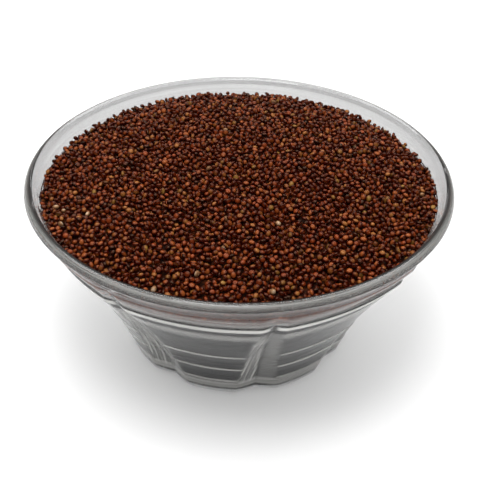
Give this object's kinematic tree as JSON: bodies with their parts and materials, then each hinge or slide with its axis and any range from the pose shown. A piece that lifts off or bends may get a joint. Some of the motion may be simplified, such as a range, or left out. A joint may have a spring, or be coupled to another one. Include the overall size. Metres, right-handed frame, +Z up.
{
  "type": "dish of quinoa",
  "caption": "Clear pressed-glass bowl with a flared round rim and ridged lobes, heaped above the rim with dry red quinoa.",
  "frame": {"origin": "centre of the bowl's foot, on the surface it stands on", "axes": "+Z up along the bowl's axis; the pictured side faces -Y, a little right of a crease between two lobes"},
  "size_m": [0.154, 0.154, 0.0732],
  "materials": {
    "clear_glass": "clear pressed glass, polished",
    "red_grain": "dry red-brown seed, slightly glossy"
  },
  "bodies": {
    "root": {"glass_bowl": "clear_glass", "quinoa_heap": "red_grain"}
  },
  "joints": []
}
